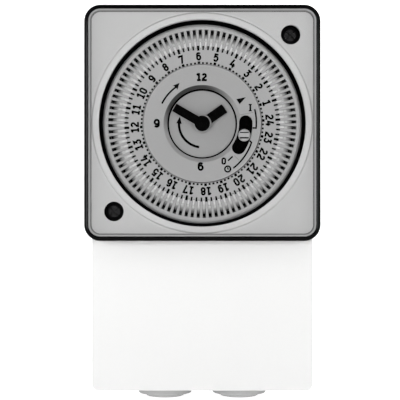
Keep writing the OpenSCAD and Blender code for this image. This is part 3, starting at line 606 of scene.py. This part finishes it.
# (inner radius, outer radius, width) of the outer tick, then of the inner one
HOUR_TICKS = ((22.55, 24.05, 0.72), (18.42, 19.25, 0.82))
QUARTER_TICKS = ((22.75, 24.0, 0.5), (18.42, 18.98, 0.6))


def print_dial_numerals():
    sheet = Print("dial_numerals", "dial", Z_RING, INK_AND_SHADE, "hand_black")
    for hour in range(1, HOURS + 1):
        angle = DIAL_TURN + 360 / HOURS * hour
        draw_number(sheet, str(hour), polar(NUMERAL_RADIUS, angle), height=2.6, width=0.61,
                    pen=0.22, turn=angle - 90)
    sheet.build()


def print_dial_ticks():
    sheet = Print("dial_ticks", "dial", Z_RING, INK_AND_SHADE, "hand_black")
    count = HOURS * TICKS_PER_HOUR
    for i in range(count):
        angle = DIAL_TURN + 360 / count * i
        for inner, outer, width in HOUR_TICKS if i % TICKS_PER_HOUR == 0 else QUARTER_TICKS:
            sheet.stroke([polar(inner, angle), polar(outer, angle)], width)
    sheet.build()


print_dial_numerals()
print_dial_ticks()


# ------------------------------------------------------------------ scale disc printing
def print_scale_numerals():
    sheet = Print("scale_numerals", "housing", Z_SCALE, INK_AND_SHADE, "hand_black")
    draw_number(sheet, "12", (-0.2, 14.3), height=2.5, width=0.64, pen=0.26, gap=0.1)
    draw_number(sheet, "9", (-14.0, 0.1), height=2.75, width=0.7, pen=0.24)
    draw_number(sheet, "6", (-0.5, -13.2), height=2.7, width=0.7, pen=0.24)
    sheet.build()


def draw_on_mark(sheet, x, y):
    """An upright with a serif at each end."""
    half_height, serif_y, serif_half = 1.0, 0.95, 0.48
    sheet.stroke([(x, y - half_height), (x, y + half_height)], 0.52)
    for side in (-1, 1):
        level = y + side * serif_y
        sheet.stroke([(x - serif_half, level), (x + serif_half, level)], 0.34)


def draw_off_mark(sheet, x, y):
    """A tall closed ring."""
    rx, ry, half_straight = 0.46, 0.34, 0.5
    sheet.stroke(arc(x, y + half_straight, rx, ry, 0, 180, 8)
               + arc(x, y - half_straight, rx, ry, 180, 360, 8), 0.5, closed=True)


def draw_clock_sign(sheet, x, y):
    """A ring with two hands."""
    ring_radius, long_hand, short_hand = 0.88, 0.6, 0.45
    sheet.stroke(ellipse(x, y, ring_radius, ring_radius, 24), 0.48, closed=True)
    sheet.stroke([(x, y + long_hand), (x, y), (x + short_hand, y)], 0.28)


def print_scale_marks():
    sheet = Print("scale_marks", "housing", Z_SCALE, INK_AND_SHADE, "hand_black")
    # curved arrow at the upper left
    arrow_radius = 13.85
    sheet.stroke(sweep(arrow_radius, 153.6, 125, 12), 0.54)
    sheet.arrow_head(polar(14.35, 119.2), polar(arrow_radius, 126.8), half_width=0.95, barb=0.1,
                   notch=0.25)
    # solid triangle at the upper right
    sheet.polygon([(10.4584, 7.5362), (11.4735, 5.9674), (13.4114, 8.1206)])
    draw_on_mark(sheet, 14.7648, 4.9216)
    draw_off_mark(sheet, 6.6134, -11.535)
    # short slanted bar beside the off mark
    sheet.stroke([(7.9053, -11.4120), (9.3510, -10.0893)], 0.46)
    draw_clock_sign(sheet, 7.8130, -13.9650)
    # brackets outside the override slot
    bracket_width = 0.5
    sheet.stroke(sweep(16.72, 15.4, -4.8, 10, end_radius=16.6) + [polar(15.5, -4.9)],
               bracket_width)
    sheet.stroke([polar(15.55, -19.8)] + sweep(16.2, -21, -55.2, 12, end_radius=16.7),
               bracket_width)
    sheet.build()


def print_scale_hairlines():
    sheet = Print("scale_hairlines", "housing", Z_SCALE, INK_GREY, "scale_grey")
    for line in ([(11.5042, 2.6454), (15.6568, 3.4451)],
                 [(9.7817, -9.8124), (11.3197, -11.2274)]):
        sheet.stroke(line, 0.16)
    sheet.build()


def print_well_arrow():
    """A curved arrow round the lower left of the well."""
    radius = 7.2
    sheet = Print("well_arrow", "housing", Z_WELL, INK_AND_SHADE, "hand_black")
    sheet.stroke(sweep(radius, 262.5, 176, 24), 0.76)
    sheet.arrow_head(polar(7.3, 161.5), polar(radius, 179), half_width=0.85)
    sheet.build()


print_scale_numerals()
print_scale_marks()
print_scale_hairlines()
print_well_arrow()


# ------------------------------------------------------------------ painted shade beside the knob's rib
def print_knob_grooves():
    """Two lines of painted shade, one above and one below the knob's raised rib; the lower one is
    wider, where the rib's shadow falls.
    """
    level_above_scale, half_length, offset = 1.05, 1.35, 0.82
    upper_width, lower_width = 0.3, 0.42
    low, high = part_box("override_knob")
    x, y = (low.x + high.x) * 500.0, (low.z + high.z) * 500.0  # middle of the knob, mm
    sheet = Print("knob_rib_shade_lines", "override", Z_SCALE + level_above_scale, INK_AND_SHADE, "hand_black")
    for side, width in ((1, upper_width), (-1, lower_width)):
        level = y + side * offset
        sheet.stroke([(x - half_length, level), (x + half_length, level)], width)
    sheet.build()


print_knob_grooves()


# ------------------------------------------------------------------ feeler's return spring
def make_leaf_spring():
    """A leaf held by the front plate at one end and pushed by the feeler at the other."""
    back, depth, radius = 32.0, 1.0, 4.565
    points = arc(22.5, -3.0, radius, radius, -84, 26.5, 40)
    leaf = Print("leaf_spring", None, back + Print.SINK, STEEL, "steel",
                 thickness=depth - Print.SINK)
    leaf.stroke(points, 0.2)
    obj = leaf.build()
    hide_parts("feeler_spring")
    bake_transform(obj)


make_leaf_spring()

# ------------------------------------------------------------------ moulded detail
# bevel width of each softened piece
SOFT_EDGES = {
    "back_box": 0.0005, "terminal_cover": 0.0006, "face_plate": 0.00015, "clear_cover": 0.0003,
    "cable_grommets": 0.0003, "scale_plate": 0.00006, "well_disc": 0.00008,
    "hour_hand": 0.0001, "minute_hand": 0.0001, "override_knob": 0.00014,
}
for name, width in SOFT_EDGES.items():
    add_weld(nodes[name])
    add_edge_bevel(nodes[name], width)


# ------------------------------------------------------------------ studio
def studio_white():
    mat, tree = start_material("studio_white")
    diffuse = add_node(tree, "BsdfDiffuse", {0: (0.9, 0.9, 0.9, 1)})
    glow = add_node(tree, "Emission", {0: (1, 1, 1, 1), 1: eye_value(tree, others=0.3, eye=0.8)})
    lit = add_node(tree, "AddShader", {0: diffuse.outputs[0], 1: glow.outputs[0]})
    # one-sided: from behind or below the backdrop isn't there, so every side can be seen
    behind = add_node(tree, "NewGeometry").outputs["Backfacing"]
    gone = add_node(tree, "BsdfTransparent")
    set_surface(tree, mix_shaders(tree, behind, lit.outputs[0], gone.outputs[0]))
    return mat


def make_sweep():
    """A pale floor that sweeps up into a pale backdrop."""
    floor = cad_box[0][2] - 0.0004
    front, backdrop, top = -1.3, 0.42, 0.75
    half_width, radius = 1.4, 0.16
    profile = [(front, floor), (backdrop - radius, floor)]  # (y, z)
    for degrees in range(9, 91, 9):
        angle = math.radians(degrees)
        profile.append((backdrop - radius + radius * math.sin(angle),
                        floor + radius - radius * math.cos(angle)))
    profile.append((backdrop, top))
    vertices = [(x, y, z) for x in (-half_width, half_width) for y, z in profile]
    count = len(profile)
    faces = [[count + i, count + i + 1, i + 1, i] for i in range(count - 1)]
    mesh = bpy.data.meshes.new("studio_sweep")
    mesh.from_pydata(vertices, [], faces)
    for face in mesh.polygons:
        face.use_smooth = True
    obj = bpy.data.objects.new("studio_sweep", mesh)
    bpy.context.scene.collection.objects.link(obj)
    mesh.materials.append(studio_white())


LIGHT_TARGET = Vector((0, -0.03, -0.02))
# name, place, width, height, power; the lamps stay clear of the plane through the camera and
# the middle of the part, so the black parts mirror nothing bright
LIGHTS = [
    ("key_left", (-0.55, -0.78, 0.5), 0.7, 0.6, 1.15),
    ("key_right", (0.5, -0.8, 0.45), 0.65, 0.6, 0.8),
    ("side_left", (-0.8, -0.45, -0.02), 0.35, 0.6, 2.0),
    ("side_right", (0.8, -0.45, -0.02), 0.35, 0.6, 1.6),
    ("low_left", (-0.52, -0.95, -0.28), 0.5, 0.35, 7.9),
    ("low_right", (0.52, -0.95, -0.28), 0.5, 0.35, 6.6),
    ("front_left", (-0.3, -1.08, -0.03), 0.2, 0.4, 6.6),
    ("front_right", (0.31, -1.08, -0.03), 0.2, 0.4, 4.2),
    ("back_fill", (0.45, 0.95, 0.45), 0.6, 0.5, 0.5),
    ("top_fill", (0.0, 0.5, 1.0), 0.6, 0.5, 2.4),
    ("under_fill", (0.25, -0.1, -0.8), 0.6, 0.5, 0.35),
]


def add_light(name, place, width, height, power):
    light = bpy.data.lights.new(name, "AREA")
    light.shape = "RECTANGLE"
    light.size = width
    light.size_y = height
    light.energy = power
    obj = bpy.data.objects.new(name, light)
    obj.location = place
    obj.rotation_euler = (LIGHT_TARGET - Vector(place)).to_track_quat("-Z", "Y").to_euler()
    bpy.context.scene.collection.objects.link(obj)


def set_world():
    """White to the eye, but only a faint light on the part."""
    world = bpy.data.worlds.new("studio_world")
    world.use_nodes = True
    tree = world.node_tree
    background = tree.nodes["Background"]
    background.inputs[0].default_value = (1, 1, 1, 1)
    tree.links.new(eye_value(tree, others=0.08, eye=1.0), background.inputs[1])
    bpy.context.scene.world = world


def add_camera():
    """Looks straight at the front, along +Y."""
    camera = bpy.data.cameras.new("camera")
    camera.sensor_width = 36.0
    camera.lens = 118.5
    camera.clip_start = 0.01
    obj = bpy.data.objects.new("camera", camera)
    obj.location = (-0.0007, -0.448, -0.0235)
    obj.rotation_euler = (math.radians(90), 0, 0)
    bpy.context.scene.collection.objects.link(obj)
    bpy.context.scene.camera = obj


make_sweep()
for light_row in LIGHTS:
    add_light(*light_row)
set_world()
add_camera()
bpy.context.scene.view_settings.view_transform = "Standard"

bpy.context.view_layer.update()
